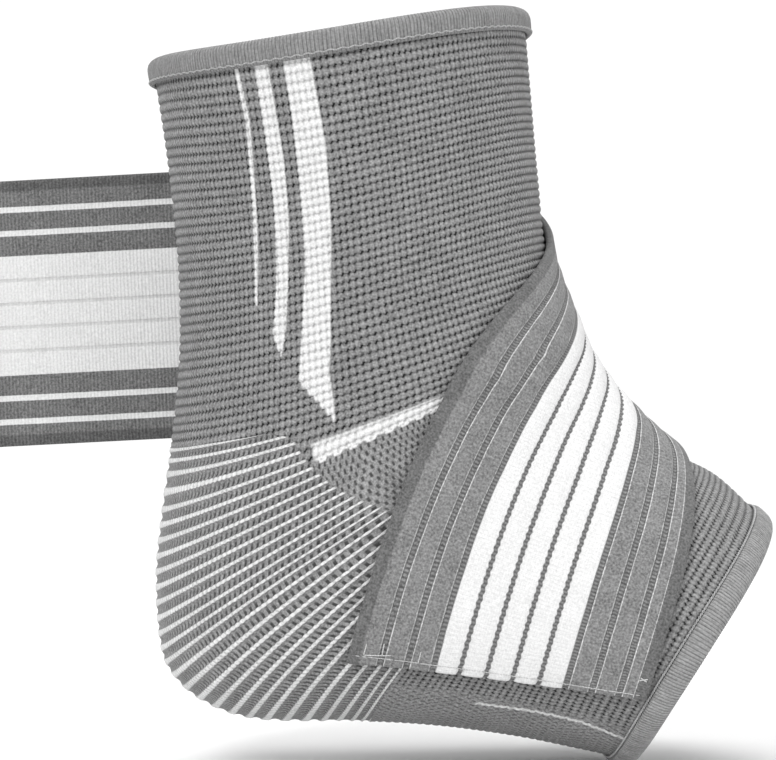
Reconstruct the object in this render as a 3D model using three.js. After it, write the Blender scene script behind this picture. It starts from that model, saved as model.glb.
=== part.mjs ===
// Elastic ankle brace: a knitted sleeve with an open toe, bound at both rims, and a wrap strap
// sewn low on its near side. The strap crosses the instep to the far side and runs off to the back,
// where a flat hook tab ends it.
// Millimetres, +Z up the leg, +X towards the toes, -Y the near side. The origin is the ankle's centre.
import * as THREE from "three";

// Sleeve, measured from the ankle's centre
const LEG_RISE = 102; // up to the front of the top rim
const SOLE_DROP = 84; // down to the sole at the toe rim
const FOOT_REACH = 97; // forward to the tip of the toe rim
const HEEL_REACH = 57; // back to the top rim's rear and the heel
const LEG_WIDTH = 74; // side to side over the ankle bones
const FOOT_WIDTH = 82; // side to side at the toe rim
const KNIT_WALL = 2.2;

// Bindings, folded over the sleeve's two raw rims
const TOP_BINDING_DEPTH = 6.2; // how far it reaches along the sleeve
const TOE_BINDING_DEPTH = 5.8;
const BINDING_CLOTH = 1.2; // cloth on each side of the knit
const BINDING_CROWN = 2; // fold from the binding's edge to the knit's edge

// Wrap strap
const STRAP_WIDTH = 71;
const STRAP_THICKNESS = 1.9;
const STRAP_LIFT = 0.5; // clearance over the knit
const TAIL_LENGTH = 137; // behind the line where the strap leaves the sleeve
const TAIL_FLARE = 2; // degrees that the tail turns away from the sleeve
const TAIL_DROP = 3; // degrees that the tail runs downhill
const TAIL_LIFT = 0.5; // further out than the sleeve's side
const TAIL_SETTLE = 30; // of the tail's length, in which the strap flattens

// Hook tab on the end of the tail's inner face
const TAB_LENGTH = 30;
const TAB_MARGIN = 5; // strap left bare above and below the tab
const TAB_SETBACK = 1.5; // strap left bare past the tab's end
const TAB_THICKNESS = 1.4;
const TAB_CORNER = 4; // roundness of its corners

const SEAM_GAP = 0.3; // clearance between touching pieces

// Fineness of the solids
const AROUND = 44; // facets around the sleeve and the bindings
const ALONG_OUTSIDE = 46; // facets along the sleeve's outer face
const ALONG_INSIDE = 24; // facets along its inner face
const STRAP_LYING = 40; // cross lines on the sleeve
const STRAP_TAIL = 10; // cross lines on the tail
const STRAP_ACROSS = 12; // facets from edge to edge

// Sections of the sleeve's outside, one line of knitting each, from the top rim round the heel to the
// toe rim. frontX, frontZ, backX and backZ are the line's two ends as shares: X of FOOT_REACH when
// positive and of HEEL_REACH when negative, Z of LEG_RISE or SOLE_DROP in the same way. leg and foot
// are the section's width as shares of LEG_WIDTH and FOOT_WIDTH. full is the superellipse's exponent,
// and taper narrows the back of the section, or the front where it is negative. sag is how far the
// line's sides lie beyond its ends, towards the toes, as a share of the section's half width.
const SECTIONS = [
  { frontX: 0.369, frontZ: 1.0, backX: -0.996, backZ: 0.877, leg: 0.97, foot: 0, full: 2.1, taper: 0.05, sag: 0.07 },
  { frontX: 0.387, frontZ: 0.797, backX: -0.93, backZ: 0.637, leg: 0.95, foot: 0, full: 2.1, taper: 0.07, sag: 0.12 },
  { frontX: 0.405, frontZ: 0.6, backX: -0.886, backZ: 0.402, leg: 0.93, foot: 0, full: 2.1, taper: 0.1, sag: 0.1 },
  { frontX: 0.43, frontZ: 0.397, backX: -0.877, backZ: 0.164, leg: 0.95, foot: 0, full: 2.1, taper: 0.1, sag: 0.07 },
  { frontX: 0.5, frontZ: 0.221, backX: -0.917, backZ: -0.089, leg: 1.0, foot: 0, full: 2.15, taper: 0.08, sag: 0.07 },
  { frontX: 0.51, frontZ: 0.194, backX: -0.952, backZ: -0.265, leg: 1.0, foot: 0, full: 2.2, taper: 0.07, sag: 0.04 },
  { frontX: 0.528, frontZ: 0.159, backX: -0.978, backZ: -0.449, leg: 0.96, foot: 0.02, full: 2.25, taper: 0.05, sag: 0.01 },
  { frontX: 0.549, frontZ: 0.127, backX: -0.965, backZ: -0.631, leg: 0.84, foot: 0.12, full: 2.35, taper: 0.03, sag: -0.03 },
  { frontX: 0.562, frontZ: 0.11, backX: -0.917, backZ: -0.738, leg: 0.77, foot: 0.18, full: 2.4, taper: 0.02, sag: -0.07 },
  { frontX: 0.575, frontZ: 0.091, backX: -0.776, backZ: -0.827, leg: 0.7, foot: 0.24, full: 2.45, taper: 0, sag: -0.1 },
  { frontX: 0.593, frontZ: 0.069, backX: -0.539, backZ: -0.881, leg: 0.6, foot: 0.33, full: 2.45, taper: -0.02, sag: -0.12 },
  { frontX: 0.649, frontZ: 0.012, backX: -0.101, backZ: -0.887, leg: 0.38, foot: 0.55, full: 2.4, taper: -0.05, sag: -0.12 },
  { frontX: 0.701, frontZ: -0.042, backX: 0.129, backZ: -0.899, leg: 0.22, foot: 0.72, full: 2.35, taper: -0.07, sag: -0.11 },
  { frontX: 0.773, frontZ: -0.107, backX: 0.335, backZ: -0.929, leg: 0.08, foot: 0.88, full: 2.3, taper: -0.08, sag: -0.1 },
  { frontX: 0.871, frontZ: -0.17, backX: 0.49, backZ: -0.964, leg: 0, foot: 0.98, full: 2.25, taper: -0.1, sag: -0.1 },
  { frontX: 1.0, frontZ: -0.3125, backX: 0.639, backZ: -1.0, leg: 0, foot: 1.0, full: 2.2, taper: -0.1, sag: -0.075 },
];

// Route of the strap's middle over the sleeve. along is a share of the way from the top rim to the
// toe rim, round the angle in degrees from the front, negative on the near side, and skew the degrees
// by which the strap's cross line is turned away from square.
const STRAP_ROUTE = [
  { along: 0.824, round: -122.2, skew: 3 },
  { along: 0.801, round: -98.3, skew: 0 },
  { along: 0.766, round: -83.4, skew: -6 },
  { along: 0.695, round: -54.8, skew: -14 },
  { along: 0.54, round: -22.5, skew: 27 },
  { along: 0.385, round: 3.8, skew: 30 },
  { along: 0.281, round: 25.8, skew: 27 },
  { along: 0.215, round: 50, skew: 13 },
  { along: 0.184, round: 84, skew: 7 },
];

const SAG_TO_BACK = 0.5; // how far a section's sag leans towards its back
const WALK_STRIDE = 0.3; // short, since the knit lines lie close together at the instep
const STRAP_LINES = 61; // cross lines that the strap's form is found from
const TAUT_ROUNDS = 120; // small pulls that draw the strap taut over the sleeve
const DEG = Math.PI / 180;
const TURN = 2 * Math.PI;

// Smooth value of a table's column at a share of the way through its rows, straight on past its ends.
function column(table, name, share) {
  const last = table.length - 1;
  const place = share * last;
  const row = THREE.MathUtils.clamp(Math.floor(place), 0, last - 1);
  const t = place - row;
  const at = (i) => table[i][name];
  if (t < 0 || t > 1) return at(row) + t * (at(row + 1) - at(row));
  const before = row > 0 ? at(row - 1) : 2 * at(0) - at(1);
  const after = row < last - 1 ? at(row + 2) : 2 * at(last) - at(last - 1);
  const [from, to] = [at(row), at(row + 1)];
  const bend = 2 * before - 5 * from + 4 * to - after + t * (3 * (from - to) + after - before);
  return from + 0.5 * t * (to - before + t * bend);
}

const forward = (share) => share * (share > 0 ? FOOT_REACH : HEEL_REACH);
const upward = (share) => share * (share > 0 ? LEG_RISE : SOLE_DROP);
const power = (value, exponent) => Math.sign(value) * Math.abs(value) ** exponent;

// Point on the sleeve's outside: along from 0 at the top rim to 1 at the toe rim, round in radians
// from the front, negative on the near side.
function outside(along, round) {
  const get = (name) => column(SECTIONS, name, along);
  const front = new THREE.Vector3(forward(get("frontX")), 0, upward(get("frontZ")));
  const back = new THREE.Vector3(forward(get("backX")), 0, upward(get("backZ")));
  const half = (get("leg") * LEG_WIDTH + get("foot") * FOOT_WIDTH) / 2;
  const roundness = 2 / get("full");
  const toFront = power(Math.cos(round), roundness);
  const toSide = power(Math.sin(round), roundness) * (1 + get("taper") * Math.cos(round));
  const point = front.clone().add(back).multiplyScalar(0.5);
  const chord = front.sub(back);
  const toesward = new THREE.Vector3(chord.z, 0, -chord.x).normalize();
  const sag = get("sag") * half * Math.sin(round) ** 2 * (1 - SAG_TO_BACK * Math.cos(round));
  point.addScaledVector(chord, toFront / 2).addScaledVector(toesward, sag);
  point.y += half * toSide;
  return point;
}

// Outward normal of the sleeve, and its two slopes per unit of along and of round.
function slopes(along, round) {
  const step = 1e-3;
  const byAlong = outside(along + step, round).sub(outside(along - step, round));
  const byRound = outside(along, round + step).sub(outside(along, round - step));
  byAlong.divideScalar(2 * step);
  byRound.divideScalar(2 * step);
  const normal = byAlong.clone().cross(byRound).normalize();
  return { normal, byAlong, byRound };
}

// Point a given height above the sleeve's outside, or below it where out is negative.
function above(along, round, out) {
  return outside(along, round).addScaledVector(slopes(along, round).normal, out);
}

// Closed body through rings of points that all have the same count. A loop joins its last ring to its
// first, and otherwise each end is closed by pairing the points of its own ring across.
function loft(rings, isLoop) {
  const count = rings[0].length;
  const index = [];
  const face = (a, b, c, d) => index.push(a, b, c, a, c, d);
  const spans = isLoop ? rings.length : rings.length - 1;
  for (let ring = 0; ring < spans; ring++) {
    const here = ring * count;
    const next = ((ring + 1) % rings.length) * count;
    for (let i = 0; i < count; i++) {
      const j = (i + 1) % count;
      face(here + i, next + i, next + j, here + j);
    }
  }
  if (!isLoop) {
    const last = (rings.length - 1) * count;
    for (let i = 0; i < count / 2 - 1; i++) {
      const [across, acrossNext] = [count - 1 - i, count - 2 - i];
      face(i, i + 1, acrossNext, across);
      face(last + i, last + across, last + acrossNext, last + i + 1);
    }
  }
  const geometry = new THREE.BufferGeometry();
  geometry.setFromPoints(rings.flat());
  geometry.setIndex(index);
  geometry.computeVertexNormals();
  return geometry;
}

function fabric(color, roughness) {
  return new THREE.MeshStandardMaterial({ color, roughness, metalness: 0 });
}

function piece(name, geometry, material) {
  const mesh = new THREE.Mesh(geometry, material);
  mesh.name = name;
  return mesh;
}

const angles = Array.from({ length: AROUND }, (_, i) => (i / AROUND) * TURN);

// Share of the way along the sleeve that lies a given distance in from a rim, 0 the top and 1 the toes.
function inFrom(rim, round, distance) {
  const perUnit = slopes(rim, round).byAlong.length();
  return rim === 0 ? distance / perUnit : 1 - distance / perUnit;
}

// Knitted tube with one wall, open at the leg and at the toes. Its raw rims stop inside the bindings.
function sleeve() {
  const inset = BINDING_CROWN + SEAM_GAP;
  const ring = (share, out) =>
    angles.map((round) => {
      const along = THREE.MathUtils.lerp(inFrom(0, round, inset), inFrom(1, round, inset), share);
      return above(along, round, out);
    });
  const face = (facets, out) => Array.from({ length: facets + 1 }, (_, i) => ring(i / facets, out));
  return loft([...face(ALONG_OUTSIDE, 0), ...face(ALONG_INSIDE, -KNIT_WALL).reverse()], true);
}

// Folded tape around a rim, in section a fat hairpin that holds the knit's edge in its slot. Each
// point of the section is a distance in from the rim and a height from the middle of the knit.
function binding(rim, depth) {
  const slot = KNIT_WALL / 2 + SEAM_GAP;
  const face = slot + BINDING_CLOTH;
  const half = [
    [BINDING_CROWN, slot],
    [depth, slot],
    [depth, slot + BINDING_CLOTH * 0.6],
    [depth * 0.85, face],
    [BINDING_CROWN, face],
    [BINDING_CROWN * 0.35, face * 0.7],
  ];
  const mirrored = half.map(([distance, height]) => [distance, -height]).reverse();
  const section = [...half, [0, 0], ...mirrored];
  const turned = rim === 0 ? section.reverse() : section;
  const ring = ([distance, height]) =>
    angles.map((round) => above(inFrom(rim, round, distance), round, height - KNIT_WALL / 2));
  return loft(turned.map(ring), true);
}

// Place reached from a place on the sleeve by a small shift in space.
function moved({ along, round }, shift) {
  const { byAlong, byRound } = slopes(along, round);
  const [aa, ar, rr] = [byAlong.dot(byAlong), byAlong.dot(byRound), byRound.dot(byRound)];
  const [da, dr] = [shift.dot(byAlong), shift.dot(byRound)];
  const whole = aa * rr - ar * ar;
  return { along: along + (da * rr - dr * ar) / whole, round: round + (dr * aa - da * ar) / whole };
}

// Walks over the sleeve from a place in a tangent direction and returns the place it reaches.
function walk(start, heading, distance) {
  const steps = Math.max(1, Math.ceil(Math.abs(distance) / WALK_STRIDE));
  const direction = heading.clone();
  let place = start;
  for (let i = 0; i < steps; i++) {
    const { normal } = slopes(place.along, place.round);
    direction.addScaledVector(normal, -direction.dot(normal)).normalize();
    place = moved(place, direction.clone().multiplyScalar(distance / steps));
  }
  return place;
}

// Places of the strap's cross line at a share of its route, from its rear edge to its front edge.
function walkedLine(share) {
  const at = (name, place) => column(STRAP_ROUTE, name, THREE.MathUtils.clamp(place, 0, 1));
  const point = (place) => outside(at("along", place), at("round", place) * DEG);
  const run = point(share + 0.02).sub(point(share - 0.02)).normalize();
  const here = { along: at("along", share), round: at("round", share) * DEG };
  const { normal } = slopes(here.along, here.round);
  const across = run.cross(normal).applyAxisAngle(normal, at("skew", share) * DEG);
  return Array.from({ length: STRAP_ACROSS + 1 }, (_, i) =>
    walk(here, across, STRAP_WIDTH * (i / STRAP_ACROSS - 0.5)),
  );
}

// The same cross lines with each of the strap's long lines pulled nearer to taut between its ends.
function tautLines(lines) {
  const points = lines.map((line) => line.map(({ along, round }) => outside(along, round)));
  return lines.map((line, row) => {
    if (row === 0 || row === lines.length - 1) {
      return line;
    }
    return line.map((place, i) => {
      const aim = points[row - 1][i].clone().add(points[row + 1][i]).multiplyScalar(0.5);
      return moved(place, aim.sub(points[row][i]).multiplyScalar(0.5));
    });
  });
}

let strapLines = Array.from({ length: STRAP_LINES }, (_, row) => walkedLine(row / (STRAP_LINES - 1)));
for (let round = 0; round < TAUT_ROUNDS; round++) {
  strapLines = tautLines(strapLines);
}

// Places of the strap's cross line at a share of the way along its route.
function crossLine(share) {
  return strapLines[0].map((_, i) => {
    const lane = strapLines.map((line) => line[i]);
    return { along: column(lane, "along", share), round: column(lane, "round", share) };
  });
}

// Axes of the strap's straight tail: run to its end, across from its top edge to its lower edge, and
// out from its inner face to its outer face.
function tailAxes() {
  const run = new THREE.Vector3(-1, Math.tan(TAIL_FLARE * DEG), -Math.tan(TAIL_DROP * DEG)).normalize();
  const out = run.clone().cross(new THREE.Vector3(0, 0, 1)).normalize();
  const across = run.clone().cross(out);
  return { run, across, out };
}

// Middle of the strap's inner face where the tail starts.
function tailRoot() {
  const line = crossLine(1).map(({ along, round }) => above(along, round, STRAP_LIFT));
  const [first, last] = [line[0], line[STRAP_ACROSS]];
  const root = first.clone().add(last).multiplyScalar(0.5);
  root.y = Math.max(...line.map((point) => point.y)) + TAIL_LIFT;
  return root;
}

// Strap's line of points across it, at a height above its inner face and a distance along its tail.
function tailLine(distance, height) {
  const { run, across, out } = tailAxes();
  const root = tailRoot();
  const settled = THREE.MathUtils.smoothstep(distance, 0, TAIL_SETTLE);
  return crossLine(1).map(({ along, round }, i) => {
    const carried = above(along, round, STRAP_LIFT + height).addScaledVector(run, distance);
    const straight = root.clone().addScaledVector(run, distance).addScaledVector(out, height);
    straight.addScaledVector(across, STRAP_WIDTH * (i / STRAP_ACROSS - 0.5));
    return carried.lerp(straight, settled);
  });
}

// Strap as one ribbon: it lies on the sleeve, then leaves it and runs straight to its end.
function wrapStrap() {
  const lying = Array.from({ length: STRAP_LYING }, (_, i) => crossLine(i / (STRAP_LYING - 1)));
  const onSleeve = (line, height) =>
    line.map(({ along, round }) => above(along, round, STRAP_LIFT + height));
  const tail = Array.from({ length: STRAP_TAIL }, (_, i) => (TAIL_LENGTH * (i + 1)) / STRAP_TAIL);
  const ring = (line) => [...line(0), ...line(STRAP_THICKNESS).reverse()];
  const rings = [
    ...lying.map((line) => ring((height) => onSleeve(line, height))),
    ...tail.map((distance) => ring((height) => tailLine(distance, height))),
  ];
  return loft(rings, false);
}

// Flat tab with round corners on the inner face at the end of the tail.
function hookTab() {
  const [long, wide, corner] = [TAB_LENGTH, STRAP_WIDTH - 2 * TAB_MARGIN, TAB_CORNER];
  const outline = new THREE.Shape();
  outline.moveTo(-long / 2 + corner, -wide / 2);
  outline.lineTo(long / 2 - corner, -wide / 2);
  outline.quadraticCurveTo(long / 2, -wide / 2, long / 2, -wide / 2 + corner);
  outline.lineTo(long / 2, wide / 2 - corner);
  outline.quadraticCurveTo(long / 2, wide / 2, long / 2 - corner, wide / 2);
  outline.lineTo(-long / 2 + corner, wide / 2);
  outline.quadraticCurveTo(-long / 2, wide / 2, -long / 2, wide / 2 - corner);
  outline.lineTo(-long / 2, -wide / 2 + corner);
  outline.quadraticCurveTo(-long / 2, -wide / 2, -long / 2 + corner, -wide / 2);
  const geometry = new THREE.ExtrudeGeometry(outline, {
    depth: TAB_THICKNESS,
    bevelEnabled: false,
    curveSegments: 6,
  });
  const { run, across, out } = tailAxes();
  const middle = TAIL_LENGTH - TAB_LENGTH / 2 - TAB_SETBACK;
  const place = tailRoot().addScaledVector(run, middle).addScaledVector(out, -SEAM_GAP);
  const frame = new THREE.Matrix4().makeBasis(run, across, out.clone().negate()).setPosition(place);
  return geometry.applyMatrix4(frame);
}

const brace = new THREE.Group();
brace.name = "ankle_brace";
brace.add(
  piece("sleeve", sleeve(), fabric(0x858585, 0.95)),
  piece("top_binding", binding(0, TOP_BINDING_DEPTH), fabric(0x8f8f8f, 0.85)),
  piece("toe_binding", binding(1, TOE_BINDING_DEPTH), fabric(0x8f8f8f, 0.85)),
  piece("wrap_strap", wrapStrap(), fabric(0xc4c4c4, 0.8)),
  piece("hook_tab", hookTab(), fabric(0x55565a, 0.9)),
);

export default brace;
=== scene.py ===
"""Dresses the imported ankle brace: knitted sleeve, two bindings, wrap strap and hook tab.

Shapes are worked out in millimetres in the row frame, +Z up the leg, +X towards the toes and -Y the
near side, and stored in the meshes in metres. On the sleeve, a course is a line of knitting around the
leg or foot, and a wale is a column of loops, counted from the front round to 100 at the back.
"""

import logging
import math
from dataclasses import dataclass, field
from enum import Enum
from typing import Callable, NamedTuple, Sequence

import bpy
import numpy as np
from mathutils import Matrix, Vector


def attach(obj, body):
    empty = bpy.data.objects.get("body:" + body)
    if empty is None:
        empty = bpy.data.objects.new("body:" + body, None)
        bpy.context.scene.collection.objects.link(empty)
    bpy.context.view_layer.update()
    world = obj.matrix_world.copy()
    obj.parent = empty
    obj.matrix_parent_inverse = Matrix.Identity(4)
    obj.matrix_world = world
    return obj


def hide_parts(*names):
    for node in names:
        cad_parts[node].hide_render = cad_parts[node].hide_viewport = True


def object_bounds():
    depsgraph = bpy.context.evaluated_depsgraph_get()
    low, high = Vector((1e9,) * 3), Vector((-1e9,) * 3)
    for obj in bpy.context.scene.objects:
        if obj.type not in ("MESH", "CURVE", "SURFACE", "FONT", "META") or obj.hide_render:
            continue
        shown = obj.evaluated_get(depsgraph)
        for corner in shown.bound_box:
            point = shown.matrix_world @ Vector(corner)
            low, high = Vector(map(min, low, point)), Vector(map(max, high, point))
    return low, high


logging.basicConfig(level=logging.INFO, format="%(message)s")
log = logging.getLogger("ankle_brace")

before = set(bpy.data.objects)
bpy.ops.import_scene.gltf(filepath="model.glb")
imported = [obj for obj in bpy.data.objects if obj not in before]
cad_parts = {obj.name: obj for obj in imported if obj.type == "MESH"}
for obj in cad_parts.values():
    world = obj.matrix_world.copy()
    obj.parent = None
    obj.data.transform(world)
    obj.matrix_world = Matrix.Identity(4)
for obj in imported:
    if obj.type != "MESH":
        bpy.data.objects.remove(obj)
cad_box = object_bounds()

MM = 0.001
WALES = 100.0
WALL = 2.2
# The strap's dark grooves, as shares of its width.
GROOVES = 10
FIRST_GROOVE = 0.111
GROOVE_PITCH = 0.0886
Socket = bpy.types.NodeSocket
Array = np.ndarray
Piece = bpy.types.Object
Material = bpy.types.Material
Pair = tuple[float, float]


class Section(NamedTuple):
    """One line of knitting around the sleeve, as shares of the sleeve's sizes."""

    front_x: float
    front_z: float
    back_x: float
    back_z: float
    leg: float
    foot: float
    full: float
    taper: float
    sag: float
    course: float


class Rim(Enum):
    """The sleeve's two raw rims."""

    TOP = 0
    TOE = 1


SECTIONS: tuple[Section, ...] = (
    Section(0.369, 1.0, -0.996, 0.877, 0.97, 0, 2.1, 0.05, 0.07, 0),
    Section(0.387, 0.797, -0.93, 0.637, 0.95, 0, 2.1, 0.07, 0.12, 11),
    Section(0.405, 0.6, -0.886, 0.402, 0.93, 0, 2.1, 0.1, 0.1, 22),
    Section(0.43, 0.397, -0.877, 0.164, 0.95, 0, 2.1, 0.1, 0.07, 33),
    Section(0.5, 0.221, -0.917, -0.089, 1.0, 0, 2.15, 0.08, 0.07, 44),
    Section(0.51, 0.194, -0.952, -0.265, 1.0, 0, 2.2, 0.07, 0.04, 48),
    Section(0.528, 0.159, -0.978, -0.449, 0.96, 0.02, 2.25, 0.05, 0.01, 52),
    Section(0.549, 0.127, -0.965, -0.631, 0.84, 0.12, 2.35, 0.03, -0.03, 56),
    Section(0.562, 0.11, -0.917, -0.738, 0.77, 0.18, 2.4, 0.02, -0.07, 58.6),
    Section(0.575, 0.091, -0.776, -0.827, 0.7, 0.24, 2.45, 0, -0.1, 61.2),
    Section(0.593, 0.069, -0.539, -0.881, 0.6, 0.33, 2.45, -0.02, -0.12, 64.5),
    Section(0.649, 0.012, -0.101, -0.887, 0.38, 0.55, 2.4, -0.05, -0.12, 70.5),
    Section(0.701, -0.042, 0.129, -0.899, 0.22, 0.72, 2.35, -0.07, -0.11, 80),
    Section(0.773, -0.107, 0.335, -0.929, 0.08, 0.88, 2.3, -0.08, -0.1, 91),
    Section(0.871, -0.17, 0.49, -0.964, 0, 0.98, 2.25, -0.1, -0.1, 99),
    Section(1.0, -0.3125, 0.639, -1.0, 0, 1.0, 2.2, -0.1, -0.075, 107),
)

# The strap's cross lines: share along the sleeve, degrees round it, degrees off square.
STRAP_ROUTE: tuple[tuple[float, float, float], ...] = (
    (0.824, -122.2, 3),
    (0.801, -98.3, 0),
    (0.766, -83.4, -6),
    (0.695, -54.8, -14),
    (0.54, -22.5, 27),
    (0.385, 3.8, 30),
    (0.281, 25.8, 27),
    (0.215, 50, 13),
    (0.184, 84, 7),
)

# Front edge of the heel's own knitting, as pairs of course and wale.
HEEL_EDGE: tuple[Pair, ...] = (
    (43.4, 101),
    (44.1, 66),
    (45.3, 61.7),
    (47.9, 58.7),
    (51, 55),
    (54, 51.7),
    (56.5, 49.7),
    (59.4, 48.7),
    (63, 54),
    (67, 62),
    (71.2, 69.7),
    (72.2, 101),
)


# Half the width of the heel's raised lines, in courses, and how strong the painted shade in its pits
# is, by wale.
HEEL_LINES: tuple[Pair, ...] = ((48, 0.13), (78, 0.14), (90, 0.18), (97, 0.25), (100, 0.27))
HEEL_PIT_SHADE: tuple[Pair, ...] = ((48, 0.75), (70, 0.65), (85, 0.4), (94, 0.12), (100, 0.05))

# The middle of the white line beside the sole, as pairs of course and wale.
SOLE_LINE: tuple[Pair, ...] = ((83, 77.1), (92, 76.1), (98, 76.1), (105, 78.5))

# The leg's three stripes, each as its rear and its front edge, in pairs of course and wale.
STRIPES: tuple[tuple[tuple[Pair, ...], tuple[Pair, ...]], ...] = (
    (
        ((0, 68.1), (8, 67.1), (20, 68.1), (29.4, 68.6), (29.9, 60)),
        ((0, 67.3), (8, 66.3), (20, 67.3), (29.4, 68.1), (29.9, 69)),
    ),
    (
        ((0, 64), (17, 63.7), (28, 64.3), (33, 65.2), (35.6, 63.7), (36.1, 60)),
        ((0, 61.7), (13, 61), (20, 61.3), (32.7, 62.7), (35.6, 63.6), (36.1, 66)),
    ),
    (
        ((0, 59), (8, 58.7), (26, 59), (39, 60.7), (41.8, 57.9), (44.8, 55.4), (45.3, 52)),
        ((0, 54.7), (12, 53.8), (22, 54.3), (35, 55.3), (39, 55.8), (44.8, 55.2), (45.3, 58)),
    ),
)


def spline(values: Array, share: Array) -> Array:
    """Reads a smooth curve through evenly spaced values, carried on straight past its ends.

    Args:
        values: One value, or one row of values, for each evenly spaced place.
        share: Places to read, from 0 at the first to 1 at the last.

    Returns:
        The curve's value, or row of values, at each place.
    """
    values = np.asarray(values, dtype=float)
    share = np.asarray(share, dtype=float)
    last = len(values) - 1
    place = share * last
    row = np.clip(np.floor(place).astype(int), 0, last - 1)
    t = place - row
    ends = np.concatenate(([2 * values[0] - values[1]], values, [2 * values[-1] - values[-2]]))
    before, start, end, after = ends[row], ends[row + 1], ends[row + 2], ends[row + 3]
    t = t.reshape(t.shape + (1,) * (start.ndim - t.ndim))
    bend = 2 * before - 5 * start + 4 * end - after + t * (3 * (start - end) + after - before)
    inside = start + 0.5 * t * (end - before + t * bend)
    straight = start + t * (end - start)
    return np.where((t < 0) | (t > 1), straight, inside)


def unit(vectors: Array) -> Array:
    """Scales vectors along the last axis to length one."""
    return vectors / np.maximum(np.linalg.norm(vectors, axis=-1, keepdims=True), 1e-12)


def smooth_step(low: float, high: float, value: Array) -> Array:
    """Rises smoothly from 0 at low to 1 at high."""
    t = np.clip((np.asarray(value, dtype=float) - low) / (high - low), 0, 1)
    return t * t * (3 - 2 * t)


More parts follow.
